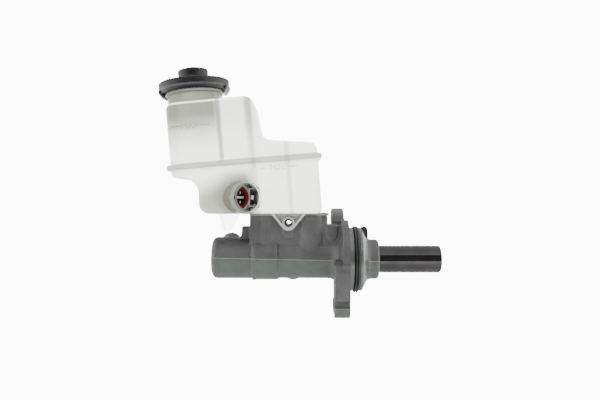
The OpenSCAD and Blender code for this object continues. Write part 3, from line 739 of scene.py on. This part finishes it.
TANK_X0, TANK_X1 = -25.5, 110
HALF_W, HALF_W_REAR = 31, 27
STEP_X = 50
TANK_TOP = 58
TANK_CORNER = 17
NECK_R, NECK_TOP = 25.7, 70
SEAM_T, SEAM_REACH = 4.6, 3.6
TUBE_R, MOUTH_R, STEM_R = 14.5, 12.8, 5  # the switch's tube, its mouth and the switch's stem
FLOAT_AT = (-107, 2)
POST_R, POST_TOP = 2.4, 81  # the post that the float slides on, in the closed tank
FLOAT_STOP_R, FLOAT_STOP_TOP = 4.2, 59.5
BETWEEN_MARKS = -100  # MAX is in front of it, MIN behind it


def to_tank(x, z):
    """Where a point of the middle plane lies in the tank's frame."""
    p = TANK.inverted() @ Vector((x, 0, z))
    return p.x, p.z


def plan(grow):
    """The tank's outline from above, in its own frame."""
    w, w2 = HALF_W + grow, HALF_W_REAR + grow
    x0, x1, k = TANK_X0 - grow, TANK_X1 + grow, 0.4 * grow
    side = [(x0, -w, TANK_CORNER + grow), (STEP_X + k, -w, 8), (STEP_X + 8 + k, -w2, 8), (x1, -w2, 9 + grow)]
    return rounded(side + [(x, -y, r) for x, y, r in side[::-1]])


def upper_side(i):
    """The upper half's outline from the side, made smaller by i."""
    r = 8 - i / 2
    return rounded([(TANK_X0 + i, -1, 0), (TANK_X0 - 0.5 + i, TANK_TOP - i, r),
                    (55.5 - i, TANK_TOP + 0.5 - i, r + 1), (60 - i, 18.5 - i, 12),
                    (TANK_X1 - i, 11.5 - i, r - 1), (TANK_X1 - i, -1, 0)])


def lower_side(i):
    """The lower half's outline from the side, made smaller by i."""
    front = to_tank(-135 + i, TANK_FLOOR + i)
    rear = to_tank(-24.6 - i, TANK_FLOOR + i)
    return rounded([(TANK_X0 + i, 1, 0), (TANK_X0 + 1 + i, -9 + i, 5), (0.5 + i, -12.5 + i, 13),
                    (*front, 9 - i / 2), (*rear, 4), (TANK_X1 - i, 1, 0)])


FACING_TANK = TANK @ FACING_Y


def shell_solid(name, inset):
    """Both halves of the tank as one rounded solid."""
    halves = []
    for side, z0, z1 in ((upper_side(inset), 0, 90), (lower_side(inset), -80, 0.01)):
        half = build(name, [prism(side, -60, 60, FACING_TANK)])
        combine(half, build("plan", [prism(plan(-inset), z0, z1, TANK)]), "INTERSECT")
        halves.append(half)
    obj = join(*halves)
    return melt(obj, 1.0, 16 if inset == 0 else 8)


def baffle_plates():
    """The tank's inner walls. They leave a way past them at +Y, except under the seam at the last one."""
    plates = []
    for i, x in enumerate(BAFFLES):
        plates.append(box((x - 1, -40, 0), (x + 1, 8, TANK_TOP + 4), TANK))
        if i:
            plates.append(box((x - 1, -40, -60), (x + 1, 40 if i == 2 else 8, 0.1), TANK))
    return plates


def tab_outline(inset):
    """The triangle round the pin's eye, made smaller by inset. It always has as many points."""
    half, top = 16.8 - 1.35 * inset, TANK_FLOOR + 1
    return [(PIN_X - half, top), *arc(PIN_X, PIN_Z, 7.1 - inset, 225, 315), (PIN_X + half, top)]


def tab_rims():
    """The thick edges of both tabs, and the eyes that the pin goes through."""
    parts = []
    for z0, z1 in ((16.7, 19.7), (-19.7, -16.7)):
        parts.append(ring_of(tab_outline(0), tab_outline(1.9), z0, z1, FACING_Y))
        parts.append(lathe([(3.6, z0), (5.6, z0), (5.6, z1), (3.6, z1)], PIN, 48))
    return bevelled(smooth_shade(build("tab_rims", parts), 30), 0.4)


def tab_panels():
    """The thin webs inside the rims."""
    panels = [prism(tab_outline(1.8), *span, FACING_Y) for span in ((16.7, 18), (-18, -16.7))]
    return smooth_shade(carve(build("tab_panels", panels), [cylinder(5.5, -30, 30, PIN)]), 30)


def skirt():
    """The rib round the tank's underside that rests on the casting's deck."""
    def outline(inset):
        x0, x1, y, r = -91.7 + inset, -18.3 - inset, 16.3 - inset, 4 - inset
        return rounded([(x0, -y, r), (x1, -y, r), (x1, y, r), (x0, y, r)])

    band = ring_of(outline(0), outline(1.5), DECK_Z + 0.02, TANK_FLOOR + 0.4)
    return smooth_shade(build("tank_skirt", [band]))


def leg():
    """The V-shaped leg under the front of the tank, open at the back."""
    top, foot = TANK_FLOOR + 3, 26
    outer = rounded([(-122.4, top, 0), (-117.3, foot, 2.4), (-110.5, foot, 2.4), (-100, top, 0)])
    inner = rounded([(-121.2, top + 4, 0), (-115.9, foot + 1.8, 1.4),
                     (-111.6, foot + 1.8, 1.4), (-101, top + 4, 0)])
    obj = build("tank_leg", [prism(outer, -7, 7, FACING_Y)])
    combine(obj, build("hollow", [prism(inner, -8, 5.6, FACING_Y)]), "DIFFERENCE")
    melt(obj, 0.4, 4)
    return smooth_shade(carve(obj, [box((-150, -60, TANK_FLOOR - 0.1), (0, 60, 90))]), 40)


def onto_wall(obj):
    """Moves marks drawn for the flat -Y walls onto the tank's real wall, round its corner too."""
    inverse = TANK.inverted()
    corner_x = TANK_X0 + TANK_CORNER
    for v in obj.data.vertices:
        q = inverse @ (v.co / MM)
        wall = -HALF_W if q.x < STEP_X else -HALF_W_REAR
        if q.x < corner_x:
            wall = TANK_CORNER - HALF_W - math.sqrt(max(0, TANK_CORNER ** 2 - (q.x - corner_x) ** 2))
        v.co = (TANK @ Vector((q.x, wall + q.y, q.z))) * MM
    return obj


def mark(text, x, z):
    """Raised letters, drawn round y 0."""
    size = 5.6
    curve = bpy.data.curves.new(text, "FONT")
    curve.body = text
    curve.size = size * 1.4 * MM
    curve.extrude = 0.4 * MM
    curve.align_x = "CENTER"
    letters = bpy.data.objects.new(text, curve)
    bpy.context.scene.collection.objects.link(letters)
    u, v = to_tank(x, z)
    place = TANK @ Matrix.Translation((u, 0, v - size / 2)) @ FACING_Y
    place.translation *= MM
    graph = bpy.context.evaluated_depsgraph_get()
    mesh = bpy.data.meshes.new_from_object(letters.evaluated_get(graph))
    mesh.transform(place)
    bpy.data.objects.remove(letters)
    obj = bpy.data.objects.new(f"mark_{text}", mesh)
    bpy.context.scene.collection.objects.link(obj)
    return obj


def level_line(x0, x1, z0, z1):
    """A raised line in short pieces, so that it can bend round a corner, drawn round y 0."""
    steps = 8
    (u0, v0), (u1, v1) = to_tank(x0, z0), to_tank(x1, z1)
    line = [(u0 + (u1 - u0) * k / steps, v0 + (v1 - v0) * k / steps) for k in range(steps + 1)]
    outline = [(u, v - 0.4) for u, v in line] + [(u, v + 0.4) for u, v in line[::-1]]
    return prism(outline, -0.4, 0.4, FACING_TANK)


def level_marks():
    """The two level marks, each with a line on either side. They are generic."""
    lines = [level_line(-161.5, -151, 120.9, 121.7), level_line(-135, -125.4, 123, 123.7),
             level_line(-84.4, -73.9, 83.7, 84.5), level_line(-57, -47, 86, 86.8)]
    obj = build("level_marks", lines)
    for text, x, z in (("MAX", -143, 122.3), ("MIN", -65.4, 85.3)):
        obj = join(obj, mark(text, x, z))
    return onto_wall(obj)


def reservoir():
    """Both halves of the tank, cut apart in the middle of the seam."""
    outer = shell_solid("reservoir_upper_shell", 0)
    neck = [cylinder(NECK_R, 20, NECK_TOP, TANK, 96),
            cylinder(NECK_R + 1.9, NECK_TOP - 2.6, NECK_TOP, TANK, 96)]
    seam = [prism(plan(SEAM_REACH), 0.3, SEAM_T / 2, TANK),
            prism(plan(SEAM_REACH), -SEAM_T / 2, -0.3, TANK),
            prism(plan(SEAM_REACH - 0.9), -0.5, 0.5, TANK)]
    tube = [cylinder(TUBE_R, -24, -0.2, SWITCH), cylinder(TUBE_R + 0.4, -2.4, 0, SWITCH)]
    outer = join(outer, build("extras", neck + seam + tube))
    melt(outer, 0.6, 4)
    cavity = shell_solid("cavity", TANK_WALL)
    float_post = Matrix.Translation((*FLOAT_AT, 0))
    kept = [cylinder(TUBE_R, -22, 5, SWITCH), cylinder(POST_R, 0, POST_TOP, float_post),
            cylinder(FLOAT_STOP_R, 0, FLOAT_STOP_TOP, float_post)]
    carve(cavity, baffle_plates() + kept)
    combine(outer, cavity, "DIFFERENCE")
    openings = [cylinder(NECK_R - 2.5, 40, NECK_TOP + 5, TANK, 96),
                cylinder(24.6, NECK_TOP - 1, NECK_TOP + 2, TANK, 96),
                cylinder(MOUTH_R, -20, 3, SWITCH), cylinder(STEM_R + 0.05, -30, -10, STEM),
                cylinder(3.6, -30, 30, PIN)]
    for x in (FRONT_INLET_X, REAR_INLET_X):
        openings.append(cylinder(4, 30, 60, Matrix.Translation((x, 0, 0))))
    carve(outer, openings)
    lower = outer.copy()
    lower.data = outer.data.copy()
    lower.name = "reservoir_lower_shell"
    bpy.context.scene.collection.objects.link(lower)
    carve(outer, [box((-80, -70, -110), (160, 70, 0), TANK)])
    carve(lower, [box((-80, -70, 0.02), (160, 70, 120), TANK)])
    return smooth_shade(outer, 40), smooth_shade(lower, 40)


# ---- cap ----

CAP_Z = NECK_TOP + 2.8
CAP_R, CAP_H = 32.9, 7.1
KNOB_R, KNOB_H = 14.2, 12.4
RIM_R = 30.6
KNURLS, KNURL_DEPTH, KNURL_FOOT = 72, 0.4, 5


def knurl(obj):
    """Small teeth round the upper part of the cap's rim."""
    inverse = TANK.inverted()
    for v in obj.data.vertices:
        q = inverse @ (v.co / MM)
        r = math.hypot(q.x, q.y)
        if r > RIM_R and q.z > CAP_Z + KNURL_FOOT:
            tooth = 0.5 + 0.5 * math.cos(KNURLS * math.atan2(q.y, q.x))
            k = 1 - KNURL_DEPTH * tooth ** 2 / r
            v.co = (TANK @ Vector((q.x * k, q.y * k, q.z))) * MM


def cap():
    """The cap with its stepped knob, dished face, knurled rim and the skirt that goes over the neck."""
    top = CAP_Z + CAP_H
    knob_side = [(2.2, 0), (0.9, 0.3), (0.4, 1.4), (-0.6, 2.9), (-0.6, 3.3), (0.1, 4), (0.1, 4.4), (-0.3, 5),
                 (-0.1, 8), (0, KNOB_H - 3)]
    knob = [(KNOB_R + r, top + h) for r, h in knob_side]
    dome = arc(KNOB_R - 2, top + KNOB_H - 2.4, 2, 0, 70, 5)
    dome += [(9, top + KNOB_H + 0.5), (5, top + KNOB_H + 1.6), (0, top + KNOB_H + 2)]
    roof, thread_end, lip = top - 2.5, NECK_TOP + 2.1, NECK_TOP + 0.4
    inside = [(0, roof), (23.4, roof), (23.4, thread_end), (26.6, thread_end), (26.6, lip), (30.2, lip)]
    rim_side = [(30.2, -2.6), (30.7, -2.9), (31.3, -2.6), (31.3, -0.3), (31.5, -0.1), (CAP_R - 0.1, 1.2),
                (CAP_R, 1.4)]
    rim_side += [(CAP_R, h) for h in (1.8, 2.4, 3.6, 4.8, 5.2, 5.6, 6, 6.3)]
    rim = [(r, CAP_Z + h) for r, h in rim_side]
    edge = [(CAP_R - 0.3, top - 0.4), (CAP_R - 1, top), (CAP_R - 1.6, top)]
    face = [(28, top - 0.2), (27.4, top - 0.7), (19, top - 0.7), (18.4, top - 0.1)]
    obj = build("cap_body", [lathe(inside + rim + edge + face + knob + dome, TANK, 8 * KNURLS)])
    knurl(obj)
    return smooth_shade(obj, 50)


def on_cap_painted_light(centre, _):
    """The chamfer under the rim, and the ring round the neck, which get painted light."""
    at = TANK.inverted() @ centre
    r = math.hypot(at.x, at.y)
    chamfer = r > 31 and CAP_Z - 0.25 < at.z < CAP_Z + 1.3
    return chamfer or (26.8 < r < 30.1 and at.z < NECK_TOP + 1)


def cap_claws():
    """Two hooks under the rim, one at each end of a diameter."""
    hook = [(28.1, -6), (29.4, -6.5), (30.4, -6), (33.3, -2), (33.6, -0.8), (33.4, 0.4), (32.6, 0.9),
            (32, 0.3), (31.6, -1), (30.9, -2.8), (30.2, -3.4), (29, -4.2), (28.1, -4.6)]
    hook = [(r, CAP_Z + h) for r, h in hook]
    parts = [lathe(hook, TANK, 24, start, 36) for start in (-18, 162)]
    return bevelled(smooth_shade(build("cap_claws", parts), 30), 0.35)


# ---- level switch ----

LENS_W, LENS_H, LENS_AT = 12.5, 19.8, -3.4


def lens(grow=0.0):
    """The pointed oval of the socket, in the switch's frame."""
    w, h = LENS_W / 2 + grow, LENS_H / 2 + 1.3 * grow
    r = (w * w + h * h) / (2 * w)
    half = math.degrees(math.asin(h / r))
    right = arc(LENS_AT + w - r, 0, r, -half, half, 16)
    left = arc(LENS_AT - w + r, 0, r, 180 - half, 180 + half, 16)
    return right + left[1:-1]


def switch_shell():
    """Plug socket: an outer ring, a sleeve round the opening, a pocket for the plug's latch, and the stem."""
    body = build("switch_body", [cylinder(12.7, -19.9, -0.8, SWITCH, 96), cylinder(STEM_R, -50, -19, STEM)])
    gap = build("gap", [cylinder(11.3, -4.5, 5, SWITCH, 96)])
    carve(gap, [prism(lens(1.2), -15, 6, SWITCH), box((2.2, -8.4, -15), (14, 8.4, 6), SWITCH)])
    combine(body, gap, "DIFFERENCE")
    pocket = rounded([(3.9, -7.2, 0.8), (11.3, -7.2, 1.6), (11.3, 7.2, 1.6), (3.9, 7.2, 0.8)], 4)
    notches = [((-14, -1.3, -4), (-11, 1.3, 2)), ((-2, 10, -2.4), (3.4, 13, 2)),
               ((-1, -13, -2.4), (4.4, -10.4, 2))]
    carve(body, [prism(lens(), -14, 5, SWITCH), prism(pocket, -9, 5, SWITCH), cylinder(3.2, -47, -27, STEM),
                 *[box(lo, hi, SWITCH) for lo, hi in notches]])
    return bevelled(smooth_shade(body, 30), 0.28)


def latch():
    """The wedge in the pocket that the plug's latch snaps over."""
    ramp = [(6.4, -9.2), (6.4, -3.4), (7.8, -3), (9.9, -4.2), (10.2, -9.2)]
    return bevelled(smooth_shade(build("latch", [prism(ramp, -1.9, 1.9, SWITCH @ FACING_Y)]), 30), 0.3)


def mouth_collar():
    """The uneven rim of the tank's tube, wider round the latch pocket."""
    corner = rounded([(2, -10.6, 1), (13.6, -9.6, 2.4), (13.6, 9.6, 2.4), (2, 10.6, 1)], 5)
    obj = build("collar", [cylinder(TUBE_R + 0.1, -3.6, 0, SWITCH, 96), prism(corner, -3.6, 0, SWITCH),
                           box((-15.4, -1.1, -3.6), (-13.6, 1.1, -0.6), SWITCH)])
    melt(obj, 0.35, 3)
    return smooth_shade(carve(obj, [cylinder(12.75, -6, 6, SWITCH, 96)]), 40)


def switch_seal():
    """The red sleeve that lines the opening, with its lip."""
    obj = build("switch_insert", [prism(lens(-0.05), -14, -3.5, SWITCH)])
    carve(obj, [prism(lens(-1.7), -20, 0, SWITCH)])
    obj = join(obj, build("insert_lip", [ring_of(lens(-0.05), lens(-1.3), -3.5, -3.0, SWITCH)]))
    return bevelled(smooth_shade(obj, 30), 0.2)


# ---- springs ----

def coil(name, x0, x1, turns):
    """A helix of wire about the bore's axis whose ends lie flat."""
    r, wire, sides, steps = 8.0, 1.0, 12, 32
    count, points, faces = turns * steps, [], []
    for i in range(count + 1):
        a, t = 2 * math.pi * i / steps, i / count
        x = x0 + wire + (x1 - x0 - 2 * wire) * t
        for k in range(sides):
            b = 2 * math.pi * k / sides
            out = r + wire * math.cos(b)
            points.append(Vector((x + wire * math.sin(b), out * math.cos(a), out * math.sin(a))))
    for i in range(count):
        for k in range(sides):
            m = (k + 1) % sides
            faces.append([i * sides + k, i * sides + m, (i + 1) * sides + m, (i + 1) * sides + k])
    faces += [list(range(sides)), [count * sides + k for k in range(sides)]]
    return smooth_shade(build(name, [(points, faces)]), 60)


# ---- assembly ----

CAST = cast_aluminium()
DARK_CAST = plain("dark_cast", (0.02, 0.021, 0.024), 0.5, 0.3)
# The cone colour is a painted highlight on the spigot's cone
TURNED = turned_metal("machined_aluminium", (0.11, 0.118, 0.11), (0.16, 0.17, 0.16), 0.36, 0.6, 0.01,
                      cone=(0.42, 0.43, 0.44))
PISTON = turned_metal("dark_ground_metal", (0.047, 0.045, 0.046), (0.058, 0.056, 0.057), 0.13, 0.9, 0.0015)
STEEL = plain("steel", (0.35, 0.35, 0.36), 0.3, 1.0, depth=0.01)
DARK_STEEL = plain("dark_steel", (0.06, 0.06, 0.065), 0.35, 0.8, depth=0.01)
TINNED = plain("tinned_brass", (0.2, 0.18, 0.12), 0.35, 1.0, depth=0.005)
MILKY = milky_plastic()
CLEAR = clear_plastic("clear_plastic", 0.2)
RIM = clear_plastic("clear_rim", 0.5)
THIN = clear_plastic("thin_panel", 0.13)
# Painted shade on the raised level marks: the darker one for MAX and its lines, the lighter one for MIN and
# its lines
MARK_PAINTED_SHADE = plain("mark_painted_shade", (0.42, 0.43, 0.37), 0.4)
MARK_DARKER_PAINTED_SHADE = plain("mark_darker_painted_shade", (0.17, 0.175, 0.14), 0.4)
COLLAR = plain("collar_plastic", (0.2, 0.215, 0.18), 0.35)
CHARCOAL = plain("charcoal_plastic", (0.009, 0.0085, 0.0105), 0.42, Specular_IOR_Level=0.28)
# Lighter grey that paints light on the chamfer under the cap's rim and on the ring round the neck
CAP_PAINTED_LIGHT = plain("cap_painted_light", (0.045, 0.045, 0.046), 0.3)
# Glossy charcoal for the claws, lightened as a painted highlight
GLOSSY_PAINTED_HIGHLIGHT = plain("glossy_charcoal_painted_highlight", (0.09, 0.09, 0.094), 0.18)
RUBBER = plain("black_rubber", (0.007, 0.007, 0.0075), 0.42)
GREY_PLASTIC = plain("grey_plastic", (0.1, 0.105, 0.098), 0.36)
RED_PLASTIC = plain("red_plastic", (0.12, 0.003, 0.002), 0.5, Specular_IOR_Level=0.2)
BLACK_PLASTIC = plain("black_plastic", (0.006, 0.006, 0.006), 0.4)
WHITE_PLASTIC = plain("white_plastic", (0.33, 0.33, 0.33), 0.35)
# A pale colour that paints a highlight on the latch
LATCH_PAINTED_HIGHLIGHT = plain("latch_painted_highlight", (0.55, 0.5, 0.47), 0.3)

NODE_LOOKS = {
    RUBBER: ("cap_diaphragm", "front_grommet", "rear_grommet", "secondary_pressure_cup", "separation_cup",
             "primary_pressure_cup", "primary_rear_cup", "vacuum_seal", "spigot_seal"),
    STEEL: ("primary_spring_seat", "secondary_spring_seat", "stem_bolt", "retaining_ring"),
    WHITE_PLASTIC: ("filler_strainer", "terminal_divider", "guide_bush"),
    GREY_PLASTIC: ("reed_switch", "level_float"),
    PISTON: ("primary_piston", "secondary_piston"),
    DARK_STEEL: ("retaining_pin", "float_magnet"),
    BLACK_PLASTIC: ("terminal_block",),
    TINNED: ("switch_terminals",),
}


def make_casting():
    finish_piece(casting(), CAST, "casting", "housing", "cylinder_body")
    finish_piece(smooth_shade(spigot()), TURNED, "casting", "housing")
    end = finish_piece(nose(), CAST, "casting", "housing")
    second_material(end, DARK_CAST, lambda centre, _: centre.z > LUG_FOOT)


def make_tank_feet():
    """What holds the tank on the casting."""
    for piece, material in ((leg(), CLEAR), (skirt(), COLLAR), (tab_rims(), RIM), (tab_panels(), THIN)):
        finish_piece(piece, material, "tank", "housing")


def make_outlets():
    for side, place in OUTLETS.items():
        boss = port_boss(f"{side}_port", place)
        finish_piece(boss, CAST, "casting", "housing", f"{side}_outlet_boss")
        second_material(boss, TURNED, in_mouth(place))


def make_tank():
    upper, lower = reservoir()
    finish_piece(upper, MILKY, "tank", "housing", "reservoir_upper")
    finish_piece(lower, MILKY, "tank", "housing", "reservoir_lower")
    marks = finish_piece(level_marks(), MARK_PAINTED_SHADE, "tank", "housing")
    # Darker painted shade on MAX and its lines
    second_material(marks, MARK_DARKER_PAINTED_SHADE, lambda centre, _: centre.x < BETWEEN_MARKS)


def make_cap():
    body = finish_piece(cap(), CHARCOAL, "cap", "cap", "filler_cap")
    second_material(body, CAP_PAINTED_LIGHT, on_cap_painted_light)
    finish_piece(cap_claws(), GLOSSY_PAINTED_HIGHLIGHT, "cap", "cap")


def make_switch():
    finish_piece(switch_shell(), GREY_PLASTIC, "switch_plastic", "housing", "switch_shell")
    finish_piece(latch(), LATCH_PAINTED_HIGHLIGHT, "switch_plastic", "housing")
    finish_piece(mouth_collar(), COLLAR, "tank", "housing")
    finish_piece(switch_seal(), RED_PLASTIC, "red_plastic", "housing", "switch_seal")


def make_springs():
    """Coils for the two springs, which get shorter as the pistons move, each built with a mesh of its own."""
    rear = coil("primary_coil", -62, -6, 8)
    finish_piece(rear, STEEL, "spring_steel", "secondary", "primary_spring")
    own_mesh(rear)
    front = coil("secondary_coil", -118.5, -72.5, 7)
    finish_piece(front, STEEL, "spring_steel", "housing", "secondary_spring")
    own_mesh(front)


def paint_nodes():
    """Better materials on the CAD nodes that stay."""
    for material, names in NODE_LOOKS.items():
        for name in names:
            nodes[name].data.materials.clear()
            nodes[name].data.materials.append(material)


# ---- stage ----

LIGHT = 3.6  # the tent's strength
TANK_LIGHT = 9
LENS = 35.4
CAMERA_AT = (-44.9, -557, 55.7)  # level, looking along +Y
FLOOR_Z, FLOOR_R, CURVE_R, DOME_TOP = -56, 3000, 900, 4500


def set_camera():
    data = bpy.data.cameras.new("camera")
    data.lens = LENS
    data.sensor_width = 36
    data.clip_start = 0.01
    data.clip_end = 20
    cam = bpy.data.objects.new("camera", data)
    cam.location = Vector(CAMERA_AT) * MM
    cam.rotation_euler = (math.radians(90), 0, 0)
    bpy.context.scene.collection.objects.link(cam)
    bpy.context.scene.camera = cam


def set_world():
    """A white tent with a dark window in its front side, dimmer behind, above and below the object."""
    world = bpy.data.worlds.new("tent")
    world.use_nodes = True
    sky = Nodes(world.node_tree, "Generated")
    y, z = sky.axis("Y"), sky.axis("Z")
    window = sky.times(sky.curve(y, -0.72, -0.6, 1, 0), sky.curve(z, -0.3, -0.18),
                       sky.curve(z, 0.56, 0.68, 1, 0))
    behind = sky.curve(y, 0.2, 0.9, LIGHT, 0.45 * LIGHT)
    above, below = sky.curve(z, 0.2, 0.95, 1, 0.42), sky.curve(z, -0.9, -0.1, 0.42, 1)
    background = world.node_tree.nodes["Background"]
    background.inputs["Color"].default_value = (1, 1, 1, 1)
    sky.set(background, "Strength", sky.times(behind, sky.less(sky.times(window, 0.94)), above, below))
    bpy.context.scene.world = world


def set_tank_light():
    """Broad lamps in front and behind that only the translucent pieces catch, as the backlight does."""
    tank = bpy.data.collections.new("lit_through")
    for obj in bpy.context.scene.objects:
        if obj.type == "MESH" and any(m in (MILKY, MARK_PAINTED_SHADE) for m in obj.data.materials):
            tank.objects.link(obj)
    for name, turn in (("front_lamp", 0), ("back_lamp", 180)):
        data = bpy.data.lights.new(name, "SUN")
        data.energy = TANK_LIGHT
        data.angle = math.radians(90)
        lamp = bpy.data.objects.new(name, data)
        lamp.rotation_euler = (math.radians(70), 0, math.radians(turn))
        bpy.context.scene.collection.objects.link(lamp)
        lamp.light_linking.receiver_collection = tank
        lamp.light_linking.blocker_collection = tank


def set_stage():
    """A pale floor that curves up into a dome. It shows bright, but lights nothing by itself."""
    quarter = arc(FLOOR_R - CURVE_R, FLOOR_Z + CURVE_R, CURVE_R, -90, 0, 15)
    dome = arc(0, DOME_TOP - FLOOR_R, FLOOR_R, 0, 90, 15)
    obj = build("backdrop", [lathe([(0, FLOOR_Z), *quarter, *dome[:-1], (0, DOME_TOP)])])
    smooth_shade(obj, 60)
    paper = Paint("paper", (0.85, 0.85, 0.85), 0.9, Emission_Color=(1, 1, 1, 1), Emission_Strength=10)
    obj.data.materials.append(paper.material)
    obj.visible_diffuse = False
    obj.visible_glossy = False
    obj.visible_transmission = False
    obj.visible_shadow = False


make_casting()
make_tank_feet()
make_outlets()
make_tank()
make_cap()
make_switch()
make_springs()
paint_nodes()
set_stage()
set_tank_light()
set_world()
set_camera()
